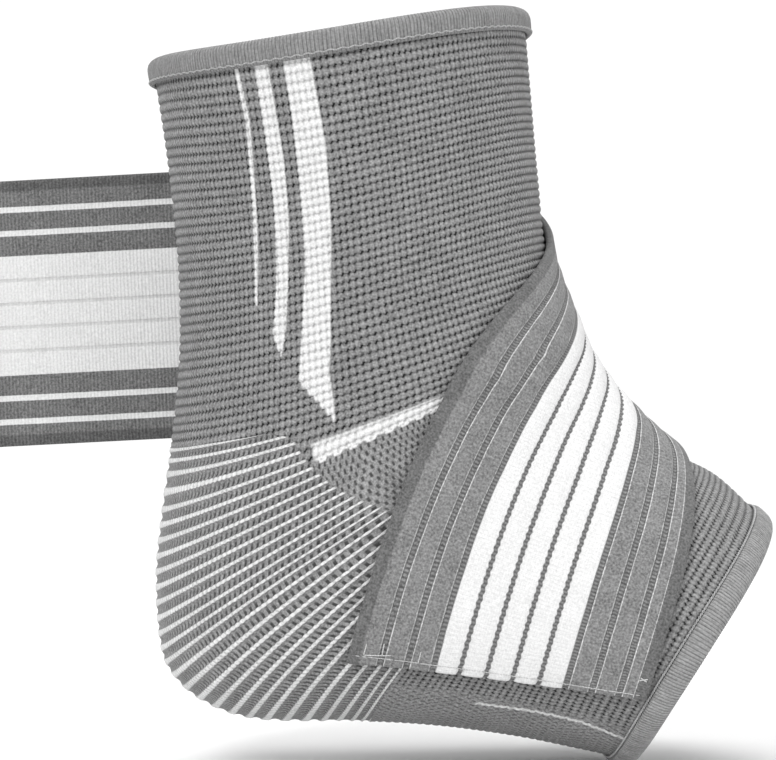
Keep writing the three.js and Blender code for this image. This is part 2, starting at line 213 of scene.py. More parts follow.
@dataclass(frozen=True)
class SleeveForm:
    """The sleeve's outside as a smooth surface over along (0 top rim, 1 toe rim) and turn."""

    leg_rise: float = 102
    sole_drop: float = 84
    foot_reach: float = 97
    heel_reach: float = 57
    leg_width: float = 74
    foot_width: float = 82
    sag_to_back: float = 0.5
    stride: float = 0.3

    def column(self, name: str, along: Array) -> Array:
        """Reads one column of the section table at shares of the way along."""
        return spline(np.array([getattr(row, name) for row in SECTIONS]), along)

    def along_of_course(self, course: Array) -> Array:
        """Finds how far along the sleeve each knitted course lies."""
        shares = np.linspace(0, 1, 1501)
        return np.interp(course, self.column("course", shares), shares)

    def outside(self, along: Array, turn: Array) -> Array:
        """Places points on the sleeve's outside.

        Args:
            along: Shares of the way from the top rim to the toe rim.
            turn: Angles in radians from the front, negative on the near side.

        Returns:
            Points in millimetres, with one more axis than the inputs.
        """
        along, turn = np.broadcast_arrays(np.asarray(along, float), np.asarray(turn, float))
        get = {name: self.column(name, along) for name in Section._fields}

        def reach(share: Array, ahead: float, behind: float) -> Array:
            """Turns a share into a distance, with one scale for each sign."""
            return share * np.where(share > 0, ahead, behind)

        front, back = (
            np.stack(
                [
                    reach(get[f"{end}_x"], self.foot_reach, self.heel_reach),
                    reach(get[f"{end}_z"], self.leg_rise, self.sole_drop),
                ],
                axis=-1,
            )
            for end in ("front", "back")
        )
        half = (get["leg"] * self.leg_width + get["foot"] * self.foot_width) / 2
        roundness = 2 / get["full"]
        cosine, sine = np.cos(turn), np.sin(turn)
        to_front = np.sign(cosine) * np.abs(cosine) ** roundness
        to_side = np.sign(sine) * np.abs(sine) ** roundness * (1 + get["taper"] * cosine)
        chord = front - back
        toesward = unit(np.stack([chord[..., 1], -chord[..., 0]], -1))
        sag = get["sag"] * half * sine**2 * (1 - self.sag_to_back * cosine)
        flat = (front + back) / 2 + chord * to_front[..., None] / 2 + toesward * sag[..., None]
        return np.stack([flat[..., 0], half * to_side, flat[..., 1]], -1)

    def slopes(self, along: Array, turn: Array) -> tuple[Array, Array, Array]:
        """Finds the outward normal and the two slopes, per unit of along and of turn."""
        step = 1e-3
        along, turn = np.asarray(along, float), np.asarray(turn, float)
        ahead, behind = self.outside(along + step, turn), self.outside(along - step, turn)
        left, right = self.outside(along, turn + step), self.outside(along, turn - step)
        by_along = (ahead - behind) / (2 * step)
        by_turn = (left - right) / (2 * step)
        return unit(np.cross(by_along, by_turn)), by_along, by_turn

    def above(self, along: Array, turn: Array, out: Array) -> Array:
        """Places points a height above the outside, or below it where out is negative."""
        normal, _, _ = self.slopes(along, turn)
        out = np.broadcast_to(np.asarray(out, float), normal.shape[:-1])
        return self.outside(along, turn) + normal * out[..., None]

    def in_from(self, rim: Rim, turn: Array, distance: Array) -> Array:
        """Finds how far along the sleeve a distance in from a rim lies."""
        _, by_along, _ = self.slopes(np.full_like(turn, float(rim.value)), turn)
        share = distance / np.linalg.norm(by_along, axis=-1)
        return share if rim is Rim.TOP else 1 - share

    def walk(
        self, along: Array, turn: Array, heading: Array, distance: Array
    ) -> Array:
        """Walks over the sleeve from many places at once, each in its own tangent direction.

        Args:
            along: Starts, as shares of the way along.
            turn: Starts, as angles.
            heading: Directions to set out in.
            distance: Millimetres to walk, backwards where negative.

        Returns:
            The along and the turn that each walk reaches, on a last axis of two.
        """
        steps = math.ceil(np.abs(distance).max() / self.stride)
        stride = (distance / steps)[..., None]
        places = np.stack([along, turn], -1)
        for _ in range(steps):
            normal, _, _ = self.slopes(places[..., 0], places[..., 1])
            heading = unit(heading - normal * (heading * normal).sum(-1, keepdims=True))
            places = self.moved(places, heading * stride)
        return places

    def moved(self, places: Array, shift: Array) -> Array:
        """Moves places, each an along and a turn, over the sleeve by small shifts in space."""
        _, by_along, by_turn = self.slopes(places[..., 0], places[..., 1])
        aa, rr = (by_along**2).sum(-1), (by_turn**2).sum(-1)
        ar = (by_along * by_turn).sum(-1)
        da, dr = (shift * by_along).sum(-1), (shift * by_turn).sum(-1)
        whole = aa * rr - ar * ar
        change = np.stack([(da * rr - dr * ar) / whole, (dr * aa - da * ar) / whole], -1)
        return places + change

    def evened(self, lines: Array, rounds: int) -> Array:
        """Draws lines that run over the sleeve nearer to taut, keeping both of their ends."""
        for _ in range(rounds):
            points = self.outside(lines[..., 0], lines[..., 1])
            pull = (points[:-2] + points[2:]) / 2 - points[1:-1]
            lines = np.concatenate([lines[:1], self.moved(lines[1:-1], pull / 2), lines[-1:]])
        return lines


FORM = SleeveForm()


class Shell:
    """Collects quads with a cloth map and material slots, and makes one mesh of them."""

    def __init__(self) -> None:
        """Starts with nothing collected."""
        self.points: list[Array] = []
        self.faces: list[Array] = []
        self.maps: list[Array] = []
        self.slots: list[Array] = []
        self.count = 0

    def loft(
        self,
        rings: Array,
        across: Array,
        along: Array,
        is_loop: bool,
        slots: Array | int = 0,
    ) -> None:
        """Adds a surface through closed rings, with flat ends unless the rings make a loop.

        Args:
            rings: Points, rings by count by 3.
            across: Map U of each line of points, count + 1 values.
            along: Map V of each ring, one more than the rings where they make a loop.
            is_loop: True where the last ring joins the first.
            slots: Material slot of all faces, or one for each column of faces.
        """
        number, count = rings.shape[:2]
        spans = number if is_loop else number - 1
        ring, place = np.meshgrid(np.arange(spans), np.arange(count), indexing="ij")
        here, ahead = ring * count, (ring + 1) % number * count
        beside = (place + 1) % count
        corners = [here + place, ahead + place, ahead + beside, here + beside]
        maps = [
            np.stack([across[place + side], along[ring + step]], -1)
            for step, side in zip((0, 1, 1, 0), (0, 0, 1, 1))
        ]
        faces = [np.stack(corners, -1).reshape(-1, 4)]
        cloth = [np.stack(maps, -2).reshape(-1, 4, 2)]
        used = [np.broadcast_to(slots, (spans, count)).reshape(-1)]
        if not is_loop:
            first = np.arange(count // 2 - 1)
            start = np.stack([first, first + 1, count - 2 - first, count - 1 - first], -1)
            end = start[:, [0, 3, 2, 1]]
            faces += [start, end + (number - 1) * count]
            for lid, edge in ((start, 0), (end, spans)):
                cloth.append(np.stack([across[lid], np.full(lid.shape, along[edge])], -1))
                used.append(np.full(len(lid), np.min(slots)))
        self.points.append(rings.reshape(-1, 3))
        self.faces.append(np.concatenate(faces) + self.count)
        self.maps.append(np.concatenate(cloth))
        self.slots.append(np.concatenate(used))
        self.count += number * count

    def thread(self, path: Array, radius: float, sides: int = 6) -> None:
        """Adds a round thread along a path, narrowed at both ends.

        Args:
            path: Points along the thread's middle.
            radius: The thread's radius.
            sides: Number of sides, even.
        """
        heading = unit(np.gradient(path, axis=0))
        side = unit(np.cross(heading, np.array([0.31, 0.52, 0.79])))
        top = np.cross(side, heading)
        turn = np.arange(sides) / sides * 2 * math.pi
        size = np.full(len(path), radius)
        size[0] = size[-1] = radius * 0.3
        ring = np.cos(turn)[None, :, None] * side[:, None] + np.sin(turn)[None, :, None] * top[:, None]
        rings = path[:, None] + ring * size[:, None, None]
        steps = np.linalg.norm(np.diff(path, axis=0), axis=1)
        lengths = np.concatenate(([0], np.cumsum(steps)))
        self.loft(rings, np.arange(sides + 1) / sides, lengths, is_loop=False)

    def mesh(self, name: str, materials: Sequence[Material]) -> Piece:
        """Makes the object.

        Args:
            name: The piece's name.
            materials: Its materials, in slot order.

        Returns:
            A smooth-shaded object at the origin.
        """
        points = np.concatenate(self.points) * MM
        faces = np.concatenate(self.faces)
        mesh = bpy.data.meshes.new(name)
        mesh.vertices.add(len(points))
        mesh.vertices.foreach_set("co", points.astype(np.float32).ravel())
        mesh.loops.add(faces.size)
        mesh.loops.foreach_set("vertex_index", faces.astype(np.int32).ravel())
        mesh.polygons.add(len(faces))
        mesh.polygons.foreach_set("loop_start", np.arange(0, faces.size, 4, dtype=np.int32))
        mesh.polygons.foreach_set("material_index", np.concatenate(self.slots).astype(np.int32))
        mesh.polygons.foreach_set("use_smooth", np.ones(len(faces), dtype=bool))
        layer = mesh.uv_layers.new(name="cloth")
        layer.data.foreach_set("uv", np.concatenate(self.maps).astype(np.float32).ravel())
        for material in materials:
            mesh.materials.append(material)
        mesh.update(calc_edges=True)
        piece = bpy.data.objects.new(name, mesh)
        bpy.context.scene.collection.objects.link(piece)
        return piece


class Wiring:
    """Adds nodes to one node tree and joins them, so that a material reads as a formula."""

    def __init__(self, tree: bpy.types.NodeTree) -> None:
        """Starts on an emptied tree."""
        self.tree = tree
        tree.nodes.clear()

    def put(self, value: object, socket: Socket) -> None:
        """Joins a socket to an input, or sets the input's own value."""
        if isinstance(value, bpy.types.NodeSocket):
            self.tree.links.new(value, socket)
        else:
            socket.default_value = value

    def node(self, kind: str, *values: object, **settings: object) -> bpy.types.Node:
        """Adds a node of a kind, and sets its properties and then its inputs in order."""
        node = self.tree.nodes.new(kind)
        for name, value in settings.items():
            setattr(node, name, value)
        for value, socket in zip(values, node.inputs):
            self.put(value, socket)
        return node

    def math(self, operation: str, *values: object, clamp: bool = False) -> Socket:
        """Adds a Math node and returns its result."""
        return self.node("ShaderNodeMath", *values, operation=operation, use_clamp=clamp).outputs[0]

    def add(self, first: object, second: object) -> Socket:
        """Adds two numbers."""
        return self.math("ADD", first, second)

    def less(self, first: object, second: object) -> Socket:
        """Takes the second number from the first."""
        return self.math("SUBTRACT", first, second)

    def flip(self, value: object) -> Socket:
        """Takes a number from one."""
        return self.less(1.0, value)

    def size(self, value: object) -> Socket:
        """Drops a number's sign."""
        return self.math("ABSOLUTE", value)

    def scaled(self, value: object, factor: object, added: object, clamp: bool = False) -> Socket:
        """Multiplies a number by a factor and adds another."""
        return self.math("MULTIPLY_ADD", value, factor, added, clamp=clamp)

    def highest(self, *values: object) -> Socket:
        """Takes the greatest of some numbers."""
        result = values[0]
        for value in values[1:]:
            result = self.math("MAXIMUM", result, value)
        return result

    def times(self, *values: object) -> Socket:
        """Multiplies numbers."""
        result = values[0]
        for value in values[1:]:
            result = self.math("MULTIPLY", result, value)
        return result

    def ramp(
        self, value: object, low: float, high: float, start: float = 0.0, end: float = 1.0
    ) -> Socket:
        """Maps a value smoothly from low..high to start..end, held at both ends."""
        values = (value, low, high, start, end)
        return self.node(
            "ShaderNodeMapRange", *values, interpolation_type="SMOOTHSTEP", clamp=True
        ).outputs[0]

    def fall(self, value: object, low: float, high: float) -> Socket:
        """Falls smoothly from 1 at low to 0 at high."""
        return self.ramp(value, low, high, 1.0, 0.0)

    def window(self, value: object, low: object, high: object, soft: float) -> Socket:
        """Is 1 where a value lies between two edges, with soft edges."""
        above = self.scaled(self.less(value, low), 1 / soft, 0.5, clamp=True)
        below = self.scaled(self.less(high, value), 1 / soft, 0.5, clamp=True)
        return self.times(above, below)

    def wave(self, value: object) -> Socket:
        """Swings from 1 at whole numbers to 0 halfway between them."""
        turned = self.times(value, 2 * math.pi)
        return self.scaled(self.math("COSINE", turned), 0.5, 0.5)

    def off_whole(self, value: object) -> Socket:
        """Measures how far a number is from the nearest whole number."""
        return self.size(self.less(self.math("FRACT", self.add(value, 0.5)), 0.5))

    def curve(self, value: object, points: Sequence[Pair], low: float, high: float) -> Socket:
        """Reads straight lines through points given in the value's own units.

        Args:
            value: The socket to read.
            points: Pairs of value and result, in rising order.
            low: Least result that the curve gives.
            high: Greatest result that it gives.

        Returns:
            The curve's result.
        """
        first, last = points[0][0], points[-1][0]
        share = self.scaled(value, 1 / (last - first), -first / (last - first), clamp=True)
        node = self.node("ShaderNodeFloatCurve")
        line = node.mapping.curves[0]
        while len(line.points) < len(points):
            line.points.new(0.5, 0.5)
        for point, (place, result) in zip(line.points, points):
            point.location = ((place - first) / (last - first), (result - low) / (high - low))
            point.handle_type = "VECTOR"
        node.mapping.update()
        self.put(share, node.inputs["Value"])
        return self.scaled(node.outputs[0], high - low, low)

    def mix(self, factor: object, low: object, high: object) -> Socket:
        """Mixes two numbers by a factor."""
        node = self.node("ShaderNodeMix", factor, data_type="FLOAT")
        self.put(low, node.inputs[2])
        self.put(high, node.inputs[3])
        return node.outputs[0]

    def noise(self, vector: object, scale: float, detail: float = 2.0) -> Socket:
        """Adds a Noise texture and returns its number."""
        node = self.node("ShaderNodeTexNoise", vector)
        node.inputs["Scale"].default_value = scale
        node.inputs["Detail"].default_value = detail
        return node.outputs[0]

    def vector(self, x: object, y: object, z: object = 0.0) -> Socket:
        """Makes a vector of three numbers."""
        return self.node("ShaderNodeCombineXYZ", x, y, z).outputs[0]

    def place(self) -> Socket:
        """Reads the piece's own coordinates."""
        return self.node("ShaderNodeTexCoord").outputs["Object"]

    def cloth_map(self) -> tuple[Socket, Socket]:
        """Reads the piece's own cloth map as two numbers."""
        cloth = self.node("ShaderNodeUVMap", uv_map="cloth")
        split = self.node("ShaderNodeSeparateXYZ", cloth.outputs[0])
        return split.outputs[0], split.outputs[1]

    def group(self, tree: bpy.types.NodeTree, *values: object) -> Sequence[Socket]:
        """Places a node group, sets its inputs in order and returns its outputs."""
        return self.node("ShaderNodeGroup", *values, node_tree=tree).outputs

    def cloth(
        self, tone: object, height: object, depth: float, roughness: float, sheen: float
    ) -> None:
        """Ends a material as matte cloth.

        Args:
            tone: Grey of the cloth, as a number in linear light.
            height: Height of the surface, 0 to about 1.
            depth: Millimetres that a height of 1 stands for.
            roughness: The cloth's roughness.
            sheen: Strength of the fibres' sheen.
        """
        colour = self.node("ShaderNodeCombineColor", tone, tone, tone)
        bump = self.node("ShaderNodeBump")
        bump.inputs["Distance"].default_value = depth * MM
        self.put(height, bump.inputs["Height"])
        shader = self.node("ShaderNodeBsdfPrincipled")
        self.put(colour.outputs[0], shader.inputs["Base Color"])
        self.put(bump.outputs[0], shader.inputs["Normal"])
        shader.inputs["Roughness"].default_value = roughness
        shader.inputs["Specular IOR Level"].default_value = 0.25
        shader.inputs["Sheen Weight"].default_value = sheen
        shader.inputs["Sheen Roughness"].default_value = 0.6
        self.node("ShaderNodeOutputMaterial", shader.outputs[0])


def start_material(name: str) -> tuple[Material, Wiring]:
    """Makes an empty node material and its wiring."""
    material = bpy.data.materials.new(name)
    material.use_nodes = True
    return material, Wiring(material.node_tree)


def start_group(
    name: str, inputs: Sequence[str], outputs: Sequence[str]
) -> tuple[bpy.types.NodeTree, Wiring, list[Socket], Sequence[Socket]]:
    """Starts a shader node group of plain numbers.

    Args:
        name: The group's name.
        inputs: Names of its inputs.
        outputs: Names of its outputs.

    Returns:
        The group, its wiring, its input sockets and the sockets that its results go to.
    """
    group = bpy.data.node_groups.new(name, "ShaderNodeTree")
    for side, labels in (("INPUT", inputs), ("OUTPUT", outputs)):
        for label in labels:
            group.interface.new_socket(label, in_out=side, socket_type="NodeSocketFloat")
    wiring = Wiring(group)
    start = wiring.node("NodeGroupInput")
    end = wiring.node("NodeGroupOutput")
    return group, wiring, list(start.outputs)[: len(inputs)], end.inputs


class Effects:
    """The node groups that more than one material uses, each built once."""

    def __init__(self) -> None:
        """Builds every group."""
        self.fuzz = self.yarn_fuzz()
        self.ribs = self.rib_knit()
        self.cords = self.cord_knit()
        self.bricks = self.brick_knit()

    def yarn_fuzz(self) -> bpy.types.NodeTree:
        """Builds uneven tone and loose fibres: Depth in, Tone and Height out."""
        group, w, (depth,), out = start_group("Yarn fuzz", ["Depth"], ["Tone", "Height"])
        place = w.place()
        fine = w.less(w.noise(place, 1900, 3.0), 0.5)
        broad = w.less(w.noise(place, 160, 2.0), 0.5)
        both = w.add(w.times(fine, 2.8), w.times(broad, 0.5))
        w.put(w.scaled(both, depth, 1.0), out[0])
        w.put(w.add(fine, 0.5), out[1])
        return group

    def rib_knit(self) -> bpy.types.NodeTree:
        """Builds rolled courses with a stitch hole beside each loop; its Shade holds painted shade in
        the grooves and holes and a painted highlight along each roll's middle.
        """
        names, results = ["Wale", "Course", "Slant", "Hole"], ["Shade", "Height"]
        group, w, (wale, course, slant, hole), out = start_group("Rib knit", names, results)
        phase = w.math("FRACT", course)
        rib = w.times(w.off_whole(w.add(course, 0.5)), 2.0)
        groove = w.ramp(rib, 0.5, 0.95)
        loop = w.wave(w.add(wale, w.times(phase, slant)))
        uneven = w.noise(w.vector(w.times(wale, 0.9), w.times(course, 0.9)), 1.0, 2.0)
        tick = w.times(w.ramp(loop, 0.4, 0.95), w.ramp(uneven, 0.3, 0.7, 0.6, 1.2))
        depth = w.ramp(rib, 0.2, 0.7, 0.35, 1.0)
        # Painted shade: darker in the groove between courses and in the stitch holes, more so towards
        # the groove; the 1.1 and the rib term paint a highlight along each roll's middle.
        shade = w.less(w.scaled(groove, -0.38, 1.1), w.times(tick, depth, hole))
        w.put(w.less(shade, w.times(rib, 0.1)), out[0])
        roll = w.scaled(w.times(rib, rib), -0.5, 0.6)
        w.put(w.add(roll, w.times(w.flip(loop), 0.4)), out[1])
        return group

    def cord_knit(self) -> bpy.types.NodeTree:
        """Builds the heel: cords between raised lines, with painted shade in the gaps between cords
        and in the pits above each line.
        """
        names = ["Wale", "Course", "Line", "Pit"]
        results = ["Shade", "White", "Height"]
        group, w, (wale, course, line, pit_shade), out = start_group("Cord knit", names, results)
        loop = w.wave(wale)
        off = w.off_whole(course)
        tooth = w.times(w.less(loop, 0.5), 0.05)
        white = w.fall(w.less(off, w.add(line, tooth)), -0.03, 0.035)
        knot = w.wave(w.add(wale, w.times(course, 0.5)))
        white = w.times(white, w.scaled(w.ramp(knot, 0.45, 0.95), -0.32, 1.0))
        phase = w.math("FRACT", course)
        low = w.window(phase, 0.42, 0.86, 0.16)
        gap = w.ramp(loop, 0.35, 0.9)
        # Painted shade: darker in the gaps between cords and in the pits just above each line.
        cord = w.scaled(gap, -0.32, 1.0)
        pit_shade_mask = w.times(low, w.ramp(loop, 0.45, 0.85), pit_shade)
        w.put(w.times(cord, w.math("SUBTRACT", 1.0, pit_shade_mask, clamp=True)), out[0])
        w.put(white, out[1])
        raised = w.scaled(white, 0.6, w.times(w.flip(loop), 0.35))
        w.put(raised, out[2])
        return group

    def brick_knit(self) -> bpy.types.NodeTree:
        """Builds an open mesh whose slits, darkened with painted shade, stagger from course to course.
        """
        names = ["Wale", "Course", "Pit"]
        group, w, (wale, course, pit_shade), out = start_group("Brick knit", names, ["Shade", "Height"])
        row = w.math("FLOOR", course)
        shift = w.times(w.math("MODULO", row, 2.0), 0.5)
        across = w.off_whole(w.add(wale, shift))
        down = w.off_whole(w.add(course, 0.5))
        slit = w.times(w.fall(across, 0.06, 0.24), w.fall(down, 0.2, 0.46))
        fleck = w.times(w.ramp(across, 0.3, 0.46), w.fall(down, 0.1, 0.3))
        # Painted shade in the slits, as strong as the pit input.
        w.put(w.add(w.flip(w.times(slit, pit_shade)), w.times(fleck, 0.12)), out[0])
        w.put(w.scaled(slit, -0.6, 0.7), out[1])
        return group


@dataclass(frozen=True)
class KnitFinish:
    """Elastic knit: grey ribs, white stripes and band, and the heel's raised white lines."""

    grey: float = 0.228
    white: float = 0.68
    band_courses: Pair = (46.6, 48.5)
    gore_start: Pair = (48.2, 48.6)
    gore_end: Pair = (66.0, 70.0)
    sole_start: Pair = (70.0, 71.0)
    sole_edge: Pair = (73.0, 76.0)
    sole_line_courses: Pair = (83.6, 104.6)
    sole_line_half: float = 0.4
    fuzz: float = 0.8
    roughness: float = 0.92
    sheen: float = 0.1
    bump: float = 0.35

    def stripes(self, w: Wiring, wale: Socket, course: Socket) -> Socket:
        """Marks the three tapering stripes down the leg and the band over the instep."""
        stepped = w.add(w.math("FLOOR", course), 0.5)
        ragged = w.add(stepped, w.times(w.less(course, stepped), 0.4))

        marks = [
            w.window(wale, *(w.curve(ragged, edge, 50.0, 70.0) for edge in (front, rear)), 0.3)
            for rear, front in STRIPES
        ]
        tooth = w.times(w.ramp(w.wave(w.times(wale, 0.5)), 0.3, 0.7), 0.3)
        across = w.window(wale, -5.0, w.scaled(course, -0.6, 86.2), 0.4)
        start, end = self.band_courses
        band = w.times(w.window(course, start, w.add(end, tooth), 0.25), across)
        return w.highest(*marks, band)

    def material(self, effects: Effects) -> Material:
        """Builds the material of the sleeve's outside and inside."""
        material, w = start_material("elastic_knit")
        signed, course = w.cloth_map()
        wale = w.size(signed)
        edge = w.curve(course, HEEL_EDGE, 40.0, 105.0)
        heel = w.ramp(w.less(wale, edge), -0.25, 0.25)
        gore = w.times(
            w.ramp(course, *self.gore_start), w.flip(heel), w.fall(course, *self.gore_end)
        )
        sole = w.times(w.ramp(course, *self.sole_start), w.ramp(wale, *self.sole_edge))
        ribs = w.group(effects.ribs, wale, course, 0.2, 0.72)
        line = w.curve(wale, HEEL_LINES, 0.1, 0.3)
        pit_shade = w.curve(wale, HEEL_PIT_SHADE, 0.0, 1.0)
        cords = w.group(effects.cords, wale, course, line, pit_shade)
        slanted = w.add(w.times(wale, 1.3), w.times(course, 0.4))
        bricks = w.group(effects.bricks, slanted, w.times(course, 1.15), 0.75)
        dashes = w.group(effects.bricks, w.times(wale, 0.7), w.times(course, 1.1), 0.5)
        fuzz = w.group(effects.fuzz, self.fuzz)
        shade, height = (
            w.mix(heel, w.mix(sole, w.mix(gore, ribs[i], bricks[i]), dashes[i]), cord)
            for i, cord in enumerate((cords[0], cords[2]))
        )
        half = self.sole_line_half
        middle = w.curve(course, SOLE_LINE, 75.0, 80.0)
        sole_line = w.times(
            w.window(wale, w.less(middle, half), w.add(middle, half), 0.3),
            w.window(course, *self.sole_line_courses, 0.5),
        )
        marks = w.highest(self.stripes(w, wale, course), w.times(sole_line, 0.9))
        white = w.mix(heel, marks, cords[1])
        # The grey yarn takes the ribs', cords' and slits' painted shade in full; off the heel the
        # white takes 45% of it.
        dark = w.times(shade, self.grey)
        pale = w.times(w.mix(heel, w.scaled(shade, 0.45, 0.55), 1.0), self.white)
        grain = w.mix(white, fuzz[0], w.scaled(fuzz[0], 0.4, 0.6))
        tone = w.times(w.mix(white, dark, pale), grain)
        rough = w.add(height, w.times(fuzz[1], 0.25))
        w.cloth(tone, rough, self.bump, self.roughness, self.sheen)
        return material


@dataclass(frozen=True)
class TapeFinish:
    """Binding tape or overlock thread, with ribs that run from one edge to the other."""

    name: str
    grey: float
    rib_gap_shade: float
    grain: float
    streak: float = 0.9
    fuzz: float = 0.4
    bump: float = 0.25

    def material(self, effects: Effects) -> Material:
        """Builds the material; the cloth map counts ribs across and millimetres along them."""
        material, w = start_material(self.name)
        rib, distance = w.cloth_map()
        uneven = w.noise(w.vector(w.times(rib, 0.37), w.times(distance, 0.05)), 1.0, 1.0)
        streaks = w.less(w.noise(w.vector(w.times(rib, 2.3), w.times(distance, 0.25)), 1.0, 2.0), 0.5)
        drift = w.scaled(w.less(uneven, 0.5), 0.5, rib)
        gap = w.ramp(w.wave(drift), 0.6, 1.0)
        strands = w.wave(w.times(drift, self.grain))
        fuzz = w.group(effects.fuzz, self.fuzz)
        # Painted shade darkens the gap between ribs.
        shade = w.less(w.scaled(gap, -self.rib_gap_shade, 1.0), w.times(strands, 0.1))
        shade = w.scaled(streaks, self.streak, shade)
        tone = w.times(shade, self.grey, fuzz[0])
        height = w.add(w.times(w.flip(gap), 0.6), w.add(w.times(strands, 0.2), w.times(fuzz[1], 0.2)))
        w.cloth(tone, height, self.bump, 0.85, 0.1)
        return material


class Lanes(NamedTuple):
    """What both faces of the strap read from the cloth map, as sockets."""

    across: Socket
    along: Socket
    off: Socket
    number: Socket
    is_groove: Socket
    is_core: Socket
    is_white: Socket
    weft: Socket
    selvedge: Socket


@dataclass(frozen=True)
class WebbingFinish:
    """One face of the striped elastic strap; the cloth map is share across and millimetres along."""

    name: str
    is_inner: bool
    grey: float = 0.205
    white: float = 0.7
    groove: float = 0.1
    rung: float = 0.2
    white_band: Pair = (0.285, 0.734)
    thread_off: float = 0.0125
    front_thread: Pair = (0.9555, 0.9575)
    selvedge: Pair = (0.038, 0.046)
    wefts_per_mm: float = 1.05
    rungs_per_mm: float = 1.1
    fuzz: float = 0.8
    bump: float = 0.3

    def lanes(self, w: Wiring) -> Lanes:
        """Reads the cloth map and finds each place's groove and lane."""
        across, along = w.cloth_map()
        slow = w.times(w.less(w.noise(w.vector(w.times(along, 0.05), 0.0), 1.0), 0.5), 0.006)
        lane = w.scaled(w.add(across, slow), 1 / GROOVE_PITCH, -FIRST_GROOVE / GROOVE_PITCH)
        number = w.math("ROUND", lane)
        margin = w.math("MINIMUM", across, w.flip(across))
        return Lanes(
            across=across,
            along=along,
            off=w.times(w.less(lane, number), GROOVE_PITCH),
            number=number,
            is_groove=w.window(number, -0.5, GROOVES - 0.5, 0.1),
            is_core=w.window(number, 2.5, 6.5, 0.1),
            is_white=w.window(across, *self.white_band, 0.003),
            weft=w.wave(w.times(along, self.wefts_per_mm)),
            selvedge=w.ramp(margin, *self.selvedge, 0.62, 1.0),
        )

    def inner_face(self, w: Wiring, at: Lanes) -> tuple[Socket, Socket, Socket]:
        """Draws the flat inner face: white threads, white lanes and their faint lines.

        Args:
            w: The material's wiring.
            at: The face's lanes.

        Returns:
            The tone, where it is white, and the height.
        """
        off = w.size(at.off)
        band = w.fall(off, 0.009, self.thread_off)
        threads = w.times(band, w.less(at.is_groove, w.window(at.number, 1.5, 7.5, 0.1)))
        faint = w.times(w.fall(off, 0.003, 0.008), at.is_core)
        white = w.highest(threads, at.is_white)
        body = w.flip(w.times(at.weft, w.mix(white, 0.3, 0.05)))
        tone = w.times(w.mix(white, self.grey, self.white), body, at.selvedge)
        tone = w.times(tone, w.scaled(faint, -0.16, 1.0))
        return tone, white, w.add(w.times(at.weft, -0.3), w.times(faint, -0.5))

    def outer_face(self, w: Wiring, at: Lanes) -> tuple[Socket, Socket, Socket]:
        """Draws the ribbed outer face in the same way: dark grooves, with threads beside them."""
        wobble = w.times(w.less(w.wave(w.times(at.along, 0.56)), 0.5), 0.0036)
        centre = w.size(w.add(at.off, w.times(wobble, at.is_core)))
        half = w.mix(at.is_core, 0.0092, 0.0068)
        dark = w.times(w.fall(w.less(centre, half), -0.002, 0.002), at.is_groove)
        edge = w.size(w.less(w.size(at.off), self.thread_off))
        threads = w.times(w.fall(edge, 0.0008, 0.0026), at.is_groove, w.flip(at.is_core))
        threads = w.times(threads, w.ramp(at.off, -0.004, 0.004, 0.55, 1.0))
        threads = w.highest(threads, w.window(at.across, *self.front_thread, 0.0012))
        rungs = w.ramp(w.wave(w.times(at.along, self.rungs_per_mm)), 0.25, 0.75)
        strip = w.mix(rungs, self.groove, self.rung)
        fine = w.times(w.wave(w.times(at.along, 2.3)), w.wave(w.times(at.across, 120.0)))
        body = w.flip(w.times(at.weft, w.mix(at.is_white, 0.1, 0.045)))
        body = w.less(body, w.times(fine, 0.08))
        lanes = w.times(w.mix(at.is_white, self.grey, self.white), body, at.selvedge)
        lanes = w.mix(w.times(threads, w.flip(at.is_white)), lanes, 0.5)
        height = w.add(w.times(dark, -1.4), w.add(w.times(at.weft, 0.12), w.times(fine, 0.1)))
        return w.mix(dark, lanes, strip), at.is_white, height

    def material(self, effects: Effects) -> Material:
        """Builds the face's material."""
        material, w = start_material(self.name)
        face = self.inner_face if self.is_inner else self.outer_face
        tone, smooth, height = face(w, self.lanes(w))
        fuzz = w.group(effects.fuzz, self.fuzz)
        tone = w.times(tone, w.mix(smooth, fuzz[0], w.scaled(fuzz[0], 0.25, 0.75)))
        w.cloth(tone, w.add(height, w.times(fuzz[1], 0.3)), self.bump, 0.88, 0.12)
        return material


@dataclass(frozen=True)
class ThreadFinish:
    """Sewing thread with a fine twist."""

    name: str
    grey: float

    def material(self, effects: Effects) -> Material:
        """Builds the material; the cloth map holds turns round and millimetres along."""
        material, w = start_material(self.name)
        turn, along = w.cloth_map()
        twist = w.wave(w.add(turn, w.times(along, 1.6)))
        fuzz = w.group(effects.fuzz, 0.3)
        # Painted shade along the twist's groove, where the height also dips.
        tone = w.times(w.scaled(twist, -0.25, 1.0), self.grey, fuzz[0])
        w.cloth(tone, w.times(twist, -0.5), 0.1, 0.7, 0.1)
        return material


@dataclass(frozen=True)
class HookFinish:
    """Moulded hook tape: dark, matte and slightly uneven."""

    name: str = "hook_moulding"
    grey: float = 0.085

    def material(self, effects: Effects) -> Material:
        """Builds the material on the tab's own coordinates."""
        material, w = start_material(self.name)
        place = w.place()
        speckle = w.noise(place, 900, 2.0)
        wear = w.noise(place, 90, 3.0)
        fuzz = w.group(effects.fuzz, 0.2)
        worn = w.add(w.times(speckle, 0.3), w.scaled(wear, 0.5, 0.6))
        tone = w.times(worn, self.grey, fuzz[0])
        w.cloth(tone, speckle, 0.1, 0.6, 0.0)
        return material


